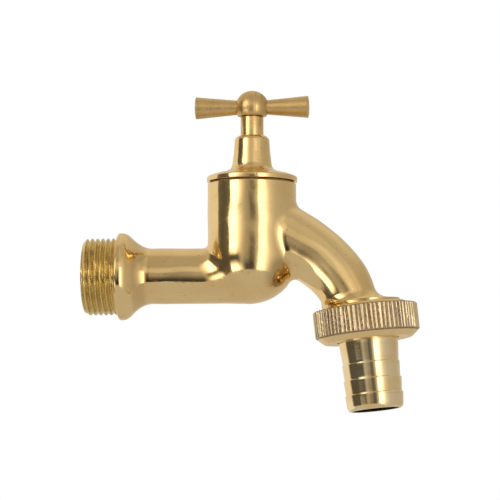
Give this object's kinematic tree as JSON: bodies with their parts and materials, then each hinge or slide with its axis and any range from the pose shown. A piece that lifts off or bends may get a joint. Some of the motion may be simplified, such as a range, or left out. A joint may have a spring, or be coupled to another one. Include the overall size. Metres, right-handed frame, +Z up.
{
  "type": "hose bib",
  "caption": "Wall-mounted brass bib tap: threaded inlet, screw-down valve with tee handle, curved spout, knurled union nut and barbed hose tail.",
  "frame": {"origin": "centre of the inlet's end face, on the inlet's axis", "axes": "+X from the wall towards the outlet, +Z up along the valve's barrel, +Y across the tap; the tap is symmetric about Y = 0 apart from its threads"},
  "size_m": [0.115, 0.0358, 0.111],
  "materials": {
    "polished_brass": "polished, slightly wavy",
    "satin_brass": "satin, fine turning marks",
    "turned_brass": "bright turned",
    "knurled_brass": "straight knurl, pinkish in the grooves",
    "steel": "plain",
    "black_rubber": "matte",
    "fibre": "pressed red fibre"
  },
  "bodies": {
    "body": {"tap_body": "polished_brass", "bonnet": "polished_brass", "bonnet_gasket": "fibre"},
    "valve": {"valve_jumper": "turned_brass", "valve_washer": "black_rubber", "valve_washer_nut": "turned_brass"},
    "handle": {"spindle": "turned_brass", "stem_o_ring_lower": "black_rubber", "stem_o_ring_upper": "black_rubber", "jumper_snap_ring": "steel", "handle_hub": "satin_brass", "handle_arm_left": "satin_brass", "handle_arm_right": "satin_brass", "handle_stud": "steel"},
    "tail": {"hose_tail": "turned_brass", "hose_tail_washer": "black_rubber"},
    "nut": {"union_nut": "knurled_brass"}
  },
  "joints": [
    {"name": "valve_lift", "type": "slide", "parent": "body", "child": "valve", "axis": [0, 0, 1], "range_m": [0, 0.005]},
    {"name": "handle_turn", "type": "hinge", "parent": "valve", "child": "handle", "pos_m": [0.0577, 0, 0.05805], "axis": [0, 0, 1], "range_deg": [0, 720]},
    {"name": "union_draw", "type": "slide", "parent": "body", "child": "tail", "axis": [0.1045, 0, -0.9945], "range_m": [0, 0.00635]},
    {"name": "union_turn", "type": "hinge", "parent": "tail", "child": "nut", "pos_m": [0.0963, 0, -0.01135], "axis": [0.1045, 0, -0.9945], "range_deg": [0, 1260]}
  ],
  "couplings": [
    {"joint": "handle_turn", "follows": "valve_lift", "rad_per_m": 2513.3},
    {"joint": "union_turn", "follows": "union_draw", "rad_per_m": 3463.7}
  ]
}
